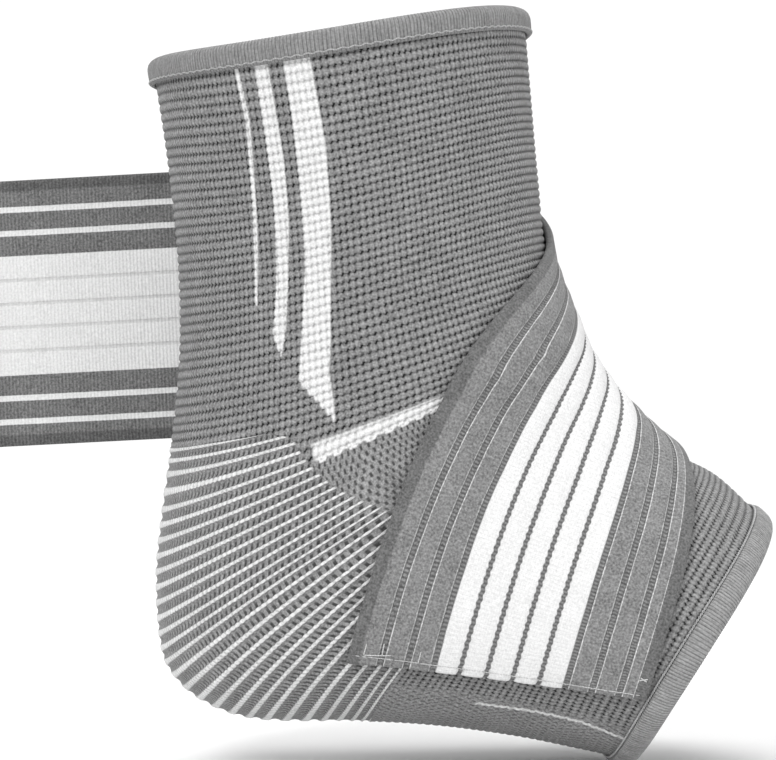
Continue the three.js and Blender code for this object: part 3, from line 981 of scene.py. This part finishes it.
@dataclass
class SleeveKnit:
    """The knitted tube, with its ribs and the heel's raised lines modelled on its outside."""

    rim_inset: float = 2.3
    columns: int = 200
    inside_rows: int = 44
    rib_relief: float = 0.42
    line_relief: float = 0.5
    foot_relief: float = 0.24
    bulge_limit: float = 0.26
    # Courses of the leg, the heel and the foot: first, end and step of the outside's rows.
    rows: tuple[tuple[float, float, float], ...] = (
        (2.25, 44, 0.25),
        (44, 68, 1 / 6),
        (68, 105.4, 1 / 3),
    )
    finish: KnitFinish = field(default_factory=KnitFinish)

    def relief(self, course: Array, wale: Array) -> Array:
        """Finds how far the outside stands above the smooth form.

        Args:
            course: Course of each point.
            wale: Wale of each point, 0 to 100.

        Returns:
            Heights in millimetres.
        """
        edge = np.interp(course, *np.array(HEEL_EDGE).T, 101, 101)
        heel = smooth_step(-0.8, 0.8, wale - edge)
        roll = np.abs(np.sin(math.pi * course)) ** 0.7
        ribs = self.rib_relief * (roll - 1) + 0.16
        foot = self.foot_relief * (roll - 1) + 0.08
        ribs = ribs + (foot - ribs) * smooth_step(42, 46, course)
        off = np.abs((course + 0.5) % 1 - 0.5)
        half = np.interp(wale, *np.array(HEEL_LINES[:-1]).T)
        lines = self.line_relief * (smooth_step(0.16, -0.04, off - half) - 0.6)
        height = ribs + (lines - ribs) * heel
        held = smooth_step(4.4, 3.4, course) + smooth_step(103.0, 104.0, course)
        return np.minimum(height * (1 - held) + 0.02 * held, self.bulge_limit)

    def build(self, effects: Effects) -> Piece:
        """Makes the tube's mesh and gives it its finish."""
        turn = np.arange(self.columns) / self.columns * 2 * math.pi - math.pi
        top = FORM.in_from(Rim.TOP, turn, self.rim_inset)
        toe = FORM.in_from(Rim.TOE, turn, self.rim_inset)
        courses = np.concatenate([np.arange(*span) for span in self.rows])
        share = FORM.along_of_course(courses)
        outer = np.concatenate([top[None], np.repeat(share[:, None], self.columns, 1), toe[None]])
        course = np.interp(outer, share, courses)
        course[0], course[-1] = courses[0] - 0.25, courses[-1] + 0.3
        wale = np.abs(turn)[None] / math.pi * WALES
        outside = FORM.above(outer, turn[None], self.relief(course, wale))
        back = np.linspace(1, 0, self.inside_rows)
        inner = top[None] + (toe - top)[None] * back[:, None]
        inside = FORM.above(inner, turn[None], -WALL)
        along = np.concatenate([course.mean(1), FORM.column("course", back), [course[0].mean()]])
        across = np.append(turn, math.pi) / math.pi * WALES
        shell = Shell()
        shell.loft(np.concatenate([outside, inside]), across, along, True)
        return shell.mesh("sleeve_knit", [self.finish.material(effects)])


@dataclass
class RimBinding:
    """Tape folded over a rim, with ribs across it and the thread that sews it down."""

    rim: Rim
    depth: float
    ribs: int
    rib_relief: float
    per_rib: int
    stitches: int
    tape: TapeFinish
    thread: ThreadFinish
    cloth: float = 1.2
    crown: float = 2.0
    gap: float = 0.3

    def section(self) -> Array:
        """Lists the fold's outline as distance in from the rim and height from the knit's middle."""
        slot = WALL / 2 + self.gap
        face = slot + self.cloth
        depth = self.depth
        half = [
            (self.crown, slot),
            (depth * 0.6, slot),
            (depth, slot),
            (depth + 0.05, slot + self.cloth * 0.35),
            (depth - 0.15, slot + self.cloth * 0.7),
            (depth - 0.6, face - 0.08),
            (depth - 1.3, face + 0.03),
            (depth * 0.55, face + 0.08),
            (depth * 0.4, face + 0.05),
            (self.crown, face - 0.02),
            (self.crown * 0.62, face * 0.88),
            (self.crown * 0.32, face * 0.67),
            (self.crown * 0.1, face * 0.36),
        ]
        mirrored = [(distance, -height) for distance, height in reversed(half)]
        return np.array(half + [(0.0, 0.0)] + mirrored)

    def place(self, distance: Array, height: Array, turn: Array) -> Array:
        """Places points by distance in from the rim, height from the knit's middle, and turn."""
        along = FORM.in_from(self.rim, turn, distance)
        return FORM.above(along, turn, height - WALL / 2)

    def build_tape(self, effects: Effects) -> Piece:
        """Makes the folded tape."""
        section = self.section()
        if self.rim is Rim.TOP:
            section = section[::-1]
        count = self.ribs * self.per_rib
        turn = np.arange(count) / count * 2 * math.pi - math.pi
        rib = np.arange(count + 1) / self.per_rib
        swell = self.rib_relief * (np.abs(np.sin(math.pi * rib[:-1])) ** 0.6 - 0.6)
        lift = np.sign(section[:, 1]) * (np.abs(section[:, 1]) > 1.45)
        is_crown = section[:, 0] < self.crown * 0.9
        rings = []
        for (distance, height), up, crown in zip(section, lift, is_crown):
            out = height + up * swell
            in_by = distance - crown * swell * 0.8
            rings.append(self.place(in_by, out, turn))
        steps = np.linalg.norm(np.diff(section, axis=0, append=section[:1]), axis=1)
        along = np.concatenate(([0], np.cumsum(steps)))
        shell = Shell()
        shell.loft(np.array(rings), rib, along, True)
        name = f"{self.rim.name.lower()}_binding_tape"
        return shell.mesh(name, [self.tape.material(effects)])

    def build_thread(self, effects: Effects) -> Piece:
        """Makes one row of stitches on the top tape, or two twisted ones beside the toe tape."""
        shell = Shell()
        face = WALL / 2 + self.gap + self.cloth
        points_each = 8
        phase = np.arange(self.stitches * points_each + 1) / points_each
        turn = phase / self.stitches * 2 * math.pi - math.pi
        if self.rim is Rim.TOP:
            distance = self.depth - 0.75 + 0.16 * np.sin(phase * 2 * math.pi)
            height = face + 0.06 + 0.1 * np.cos(phase * 4 * math.pi)
            shell.thread(self.place(distance, height, turn), 0.19)
        else:
            for start in (0.0, 0.5):
                twist = (phase + start) * 2 * math.pi
                distance = self.depth + 0.4 + 0.16 * np.sin(twist)
                height = WALL / 2 + 0.5 + 0.16 * np.cos(twist)
                shell.thread(self.place(distance, height, turn), 0.17)
        name = f"{self.rim.name.lower()}_binding_thread"
        return shell.mesh(name, [self.thread.material(effects)])


@dataclass
class WrapStrap:
    """The striped elastic strap: lying on the sleeve, then running straight off to the back."""

    width: float = 71
    thickness: float = 1.9
    lift: float = 0.5
    tail_length: float = 137
    tail_flare: float = 2
    tail_drop: float = 3
    tail_lift: float = 0.5
    tail_settle: float = 30
    lanes: int = 61
    cross_lines: int = 61
    evening: int = 120
    lying_rows: int = 260
    tail_rows: int = 130
    groove_depth: float = 0.42
    seam: float = 0.012
    seam_stitches: int = 44
    # Each loose thread runs between two shares across and two shares along the route.
    loose_threads: tuple[tuple[Pair, Pair], ...] = (
        ((0.05, 0.14), (0.014, 0.018)),
        ((0.05, 0.05), (0.014, 0.03)),
        ((0.11, 0.107), (0.016, 0.034)),
        ((0.235, 0.235), (0.012, 0.03)),
        ((0.958, 0.985), (0.05, 0.058)),
        ((0.96, 0.984), (0.058, 0.05)),
    )
    outer: WebbingFinish = field(default_factory=lambda: WebbingFinish("webbing_outer", False))
    inner: WebbingFinish = field(default_factory=lambda: WebbingFinish("webbing_inner", True, 0.175))
    thread: ThreadFinish = field(default_factory=lambda: ThreadFinish("strap_thread", 0.6))

    def __post_init__(self) -> None:
        """Works out the strap's cross lines at each row of its route, and its tail's axes."""
        table = np.array(STRAP_ROUTE)
        table[:, 1:] = np.radians(table[:, 1:])
        places = np.linspace(0, 1, self.cross_lines)
        route = spline(table, places)
        spread = self.width * (np.arange(self.lanes) / (self.lanes - 1) - 0.5)
        headings = []
        for share, (along, turn, skew) in zip(places, route):
            ends = spline(table, np.clip([share - 0.02, share + 0.02], 0, 1))
            near = FORM.outside(ends[:, 0], ends[:, 1])
            run = unit(near[1] - near[0])
            normal, _, _ = FORM.slopes(along, turn)
            square = Vector(np.cross(run, normal))
            headings.append(Matrix.Rotation(skew, 3, Vector(normal)) @ square)
        shape = (self.cross_lines, self.lanes)
        along, turn = (np.broadcast_to(route[:, i, None], shape) for i in (0, 1))
        heading = np.broadcast_to(np.array(headings)[:, None], shape + (3,))
        lines = FORM.walk(along, turn, heading, np.broadcast_to(spread, shape))
        lines = FORM.evened(lines, self.evening)
        normals, _, _ = FORM.slopes(lines[..., 0], lines[..., 1])
        self.bed = np.concatenate([FORM.outside(lines[..., 0], lines[..., 1]), normals], axis=-1)
        self.shares = self.across_shares()
        flare, drop = math.tan(math.radians(self.tail_flare)), math.tan(math.radians(self.tail_drop))
        self.run = unit(np.array([-1, flare, -drop]))
        self.out = unit(np.cross(self.run, [0, 0, 1]))
        self.across = np.cross(self.run, self.out)
        rim = self.on_sleeve(np.ones(1), np.linspace(0, 1, self.lanes), np.zeros(self.lanes))[0]
        self.root = (rim[0] + rim[-1]) / 2
        self.root[1] = rim[:, 1].max() + self.tail_lift

    def across_shares(self) -> Array:
        """Lists the shares across where the strap has points, close together at its grooves."""
        grooves = FIRST_GROOVE + GROOVE_PITCH * np.arange(GROOVES)
        near = [grooves + step for step in (-0.018, -0.009, -0.0045, 0.0045, 0.009, 0.018)]
        lanes = grooves[:-1] + GROOVE_PITCH / 2
        edges = np.array([0, 0.0015, 0.005, 0.012, 0.03, 0.055, 0.08])
        return np.sort(np.concatenate([*near, lanes, edges, 1 - edges]))

    def on_sleeve(self, share: Array, across: Array, height: Array) -> Array:
        """Places the strap's points over the sleeve.

        Args:
            share: Shares of the way along the route.
            across: Shares of the way from the rear edge to the front edge.
            height: Height above the strap's inner face, for each share across.

        Returns:
            Points, shares by across by 3.
        """
        lanes = spline(self.bed, share)
        places = np.swapaxes(spline(np.swapaxes(lanes, 0, 1), across), 0, 1)
        return places[..., :3] + unit(places[..., 3:]) * (self.lift + height)[None, :, None]

    def on_tail(self, distance: Array, across: Array, height: Array) -> Array:
        """Places the strap's points along its tail, in the same way as on_sleeve."""
        carried = self.on_sleeve(np.ones(1), across, height) + self.run * distance[:, None, None]
        straight = self.root + self.run * distance[:, None, None] + self.out * height[None, :, None]
        straight = straight + self.across * (self.width * (across - 0.5))[None, :, None]
        settled = smooth_step(0, self.tail_settle, distance)[:, None, None]
        return carried + (straight - carried) * settled

    def heights(self) -> tuple[Array, Array]:
        """Finds the heights of the inner and the outer face at each share across."""
        share = self.shares
        lane = (share - FIRST_GROOVE) / GROOVE_PITCH
        off = np.abs(lane - np.clip(np.round(lane), 0, GROOVES - 1)) * GROOVE_PITCH
        groove = smooth_step(0.0125, 0.004, off)
        pillow = 0.1 * np.cos(np.clip(off / GROOVE_PITCH * 2, 0, 1) * math.pi)
        edge = np.minimum(share, 1 - share)
        fullness = 0.3 + 0.7 * np.sqrt(np.clip(edge / 0.012, 0, 1))
        outer = self.thickness * (0.5 + 0.5 * fullness) - groove * self.groove_depth - pillow
        inner = self.thickness * 0.5 * (1 - fullness) + groove * 0.1
        return inner, outer

    def build(self, effects: Effects) -> Piece:
        """Makes the strap's mesh, with one finish on each face."""
        inner, outer = self.heights()
        shares = self.shares
        on = np.linspace(0, 1, self.lying_rows)
        off = np.arange(1, self.tail_rows + 1) / self.tail_rows * self.tail_length
        faces = [
            np.concatenate([self.on_sleeve(on, shares, height), self.on_tail(off, shares, height)])
            for height in (inner, outer)
        ]
        rings = np.concatenate([faces[0], faces[1][:, ::-1]], axis=1)
        middle = rings[:, len(shares) // 2]
        steps = np.linalg.norm(np.diff(middle, axis=0), axis=1)
        along = np.concatenate(([0], np.cumsum(steps)))
        self.length = float(along[-1])
        across = np.concatenate([shares, shares[::-1], shares[:1]])
        slots = np.zeros(2 * len(shares), dtype=int)
        slots[: len(shares) - 1] = 1
        shell = Shell()
        shell.loft(rings, across, along, False, slots)
        materials = [self.outer.material(effects), self.inner.material(effects)]
        return shell.mesh("wrap_strap_webbing", materials)

    def over(self, share: Array, across: Array, height: Array) -> Array:
        """Places single points on the strap by share along its route and share across."""
        lanes = spline(self.bed, share)
        places = np.array([spline(lane, np.array([place]))[0] for lane, place in zip(lanes, across)])
        return places[:, :3] + unit(places[:, 3:]) * (self.lift + height)[:, None]

    def build_stitches(self, effects: Effects) -> Piece:
        """Makes the row of stitches across the sewn end and the loose threads near its corners."""
        shell = Shell()
        points_each = 6
        phase = np.arange(self.seam_stitches * points_each + 1) / points_each
        across = 0.02 + 0.96 * phase / self.seam_stitches
        height = self.thickness - 0.02 + 0.1 * np.sin(phase * math.pi) ** 2
        shell.thread(self.over(np.full(len(phase), self.seam), across, height), 0.1)
        bow = 0.1 * np.sin(np.linspace(0, math.pi, 14))
        for ends, line in self.loose_threads:
            across, share = np.linspace(*ends, len(bow)), np.linspace(*line, len(bow))
            shell.thread(self.over(share, across, self.thickness + 0.05 + bow), 0.14)
        return shell.mesh("strap_stitches", [self.thread.material(effects)])


@dataclass
class HookTab:
    """The flat hook piece on the tail's inner face: a moulded sheet with rows of small hooks."""

    strap: WrapStrap
    length: float = 30
    margin: float = 5
    setback: float = 1.5
    base: float = 0.75
    hook_rise: float = 0.75
    corner: float = 4
    gap: float = 0.3
    pitch: float = 1.5
    hook_margin: float = 2.6
    hook_lean: float = 0.3
    border: float = 1.4
    sunk: float = 0.15
    finish: HookFinish = field(default_factory=HookFinish)

    def pick(
        self, tab: Piece, kind: str, parts: str, is_wanted: Callable[[object], bool]
    ) -> None:
        """Selects the tab's edges or faces that pass a test, and opens edit mode on them.

        Args:
            tab: The tab's object.
            kind: Blender's select mode.
            parts: Name of the mesh's own list of such parts.
            is_wanted: The test.
        """
        bpy.ops.object.mode_set(mode="EDIT")
        bpy.ops.mesh.select_mode(type=kind)
        bpy.ops.mesh.select_all(action="DESELECT")
        bpy.ops.object.mode_set(mode="OBJECT")
        for part in getattr(tab.data, parts):
            part.select = is_wanted(part)
        bpy.ops.object.mode_set(mode="EDIT")

    def build(self, effects: Effects) -> Piece:
        """Makes the tab with its hooks and puts it on the strap's inner face."""
        strap = self.strap
        width = strap.width - 2 * self.margin
        bpy.ops.object.select_all(action="DESELECT")
        bpy.ops.mesh.primitive_cube_add(size=1)
        tab = bpy.context.object
        tab.scale = (self.length * MM, width * MM, self.base * MM)
        bpy.ops.object.transform_apply(location=False, rotation=False, scale=True)

        def is_upright(edge: bpy.types.MeshEdge) -> bool:
            """Tells whether an edge runs through the sheet's thickness."""
            first, second = (tab.data.vertices[i].co for i in edge.vertices)
            return abs(first.z - second.z) > self.base * MM / 2

        self.pick(tab, "EDGE", "edges", is_upright)
        bpy.ops.mesh.bevel(offset=self.corner * MM, segments=6, affect="EDGES")
        self.pick(tab, "FACE", "polygons", lambda face: face.normal.z > 0.9)
        bpy.ops.mesh.inset(thickness=self.border * MM)
        bpy.ops.transform.translate(value=(0, 0, -self.sunk * MM))
        bpy.ops.object.mode_set(mode="OBJECT")
        bevel = tab.modifiers.new("soft_edges", "BEVEL")
        bevel.width = 0.12 * MM
        bevel.segments = 2
        bpy.ops.object.modifier_apply(modifier=bevel.name)
        hooks = self.build_hooks(width)
        bpy.ops.object.select_all(action="DESELECT")
        hooks.select_set(True)
        tab.select_set(True)
        bpy.context.view_layer.objects.active = tab
        bpy.ops.object.join()
        tab.name = tab.data.name = "hook_tab_field"
        middle = strap.tail_length - self.length / 2 - self.setback
        place = strap.root + strap.run * middle - strap.out * (self.gap + self.base / 2)
        axes = Matrix((strap.run, strap.across, -strap.out)).transposed().to_4x4()
        tab.data.transform(Matrix.Translation(Vector(place * MM)) @ axes)
        tab.data.update()
        tab.data.materials.clear()
        tab.data.materials.append(self.finish.material(effects))
        return tab

    def build_hooks(self, width: float) -> Piece:
        """Makes the field of hooks on the tab's face, each a short bent pin."""
        shell = Shell()
        half_long, half_wide = (size / 2 - self.hook_margin for size in (self.length, width))
        stem = self.base / 2 - 0.18
        rows = np.arange(-half_long, half_long + 0.01, self.pitch)
        places = np.arange(-half_wide, half_wide + 0.01, self.pitch)
        for index, x in enumerate(rows):
            lean = self.hook_lean if index % 2 else -self.hook_lean
            for y in places:
                path = [(x, y, stem), (x, y, stem + 0.45), (x + lean, y, stem + self.hook_rise)]
                path.append((x + lean * 2, y, stem + 0.5))
                shell.thread(np.array(path), 0.17, 4)
        return shell.mesh("hooks", [])


@dataclass
class Studio:
    """Pale floor, soft lights and the camera at the photograph's place."""

    camera_place: tuple[float, float, float] = (0.002, -0.6, 0.010)
    lens: float = 111.34
    sensor: float = 36
    floor_radius: float = 0.6
    floor_gap: float = 0.0012
    lights: tuple[tuple[str, tuple[float, float, float], float, float], ...] = (
        ("key", (-0.5, -1.1, 1.0), 0.7, 14),
        ("fill", (1.1, -1.0, 0.4), 1.0, 7),
        ("top", (0.1, 0.3, 1.5), 1.2, 14),
        ("rim", (-0.9, 1.0, 0.6), 0.9, 7),
    )

    def build_floor(self) -> None:
        """Makes the round floor just under the brace."""
        bpy.ops.object.select_all(action="DESELECT")
        place = (0, 0, cad_box[0][2] - self.floor_gap)
        bpy.ops.mesh.primitive_circle_add(
            vertices=96, radius=self.floor_radius, fill_type="NGON", location=place
        )
        floor = bpy.context.object
        floor.name = "floor"
        material, w = start_material("floor_paper")
        grain = w.noise(w.place(), 60, 2.0)
        w.cloth(w.scaled(grain, 0.02, 0.88), grain, 0.05, 0.9, 0.0)
        floor.data.materials.append(material)
        bpy.ops.object.transform_apply(location=True, rotation=False, scale=False)

    def add_light(self, name: str, place: Sequence[float], size: float, energy: float) -> None:
        """Adds one square area light that points at the brace's middle."""
        light = bpy.data.lights.new(name, "AREA")
        light.size = size
        light.energy = energy
        lamp = bpy.data.objects.new(name, light)
        lamp.location = place
        lamp.rotation_euler = (-Vector(place)).to_track_quat("-Z", "Y").to_euler()
        bpy.context.scene.collection.objects.link(lamp)

    def build_world(self) -> None:
        """Gives the background its white and the scene its even light."""
        world = bpy.data.worlds.new("studio")
        world.use_nodes = True
        bpy.context.scene.world = world
        w = Wiring(world.node_tree)
        back = w.node("ShaderNodeBackground")
        seen = w.node("ShaderNodeLightPath").outputs["Is Camera Ray"]
        w.put(w.mix(seen, 0.55, 1.05), back.inputs["Strength"])
        back.inputs["Color"].default_value = (1, 1, 1, 1)
        w.node("ShaderNodeOutputWorld", back.outputs[0])

    def build(self) -> None:
        """Sets up the whole studio."""
        self.build_floor()
        self.build_world()
        for name, place, size, energy in self.lights:
            self.add_light(name, place, size, energy)
        camera = bpy.data.cameras.new("camera")
        camera.lens = self.lens
        camera.sensor_width = self.sensor
        holder = bpy.data.objects.new("camera", camera)
        holder.location = self.camera_place
        holder.rotation_euler = (math.pi / 2, 0, 0)
        bpy.context.scene.collection.objects.link(holder)
        bpy.context.scene.camera = holder
        bpy.context.scene.view_settings.view_transform = "Standard"


def dress(piece: Piece, slot: str, *nodes: str) -> None:
    """Ties a piece to the brace's body and hides the CAD nodes that it stands for."""
    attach(piece, "root")
    if nodes:
        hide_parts(*nodes)
    log.info("%s: %d faces", piece.name, len(piece.data.polygons))


def main() -> None:
    """Builds every piece in order."""
    Studio().build()
    effects = Effects()
    dress(SleeveKnit().build(effects), "knit", "sleeve")
    top = RimBinding(
        Rim.TOP,
        depth=6.2,
        ribs=330,
        rib_relief=0.1,
        per_rib=4,
        stitches=118,
        tape=TapeFinish("binding_tape", 0.24, 0.3, 2.0),
        thread=ThreadFinish("binding_thread", 0.4),
    )
    toe = RimBinding(
        Rim.TOE,
        depth=5.8,
        ribs=300,
        rib_relief=0.14,
        per_rib=6,
        stitches=150,
        tape=TapeFinish("overlock_tape", 0.29, 0.3, 2.0),
        thread=ThreadFinish("overlock_thread", 0.45),
    )
    for binding, slot, node in ((top, "top_tape", "top_binding"), (toe, "toe_tape", "toe_binding")):
        dress(binding.build_tape(effects), slot, node)
        dress(binding.build_thread(effects), slot)
    strap = WrapStrap()
    webbing = strap.build(effects)
    dress(webbing, "strap_webbing", "wrap_strap")
    stitches = strap.build_stitches(effects)
    dress(stitches, "strap_webbing")
    dress(HookTab(strap).build(effects), "hook_pile", "hook_tab")


if __name__ == "__main__":
    main()
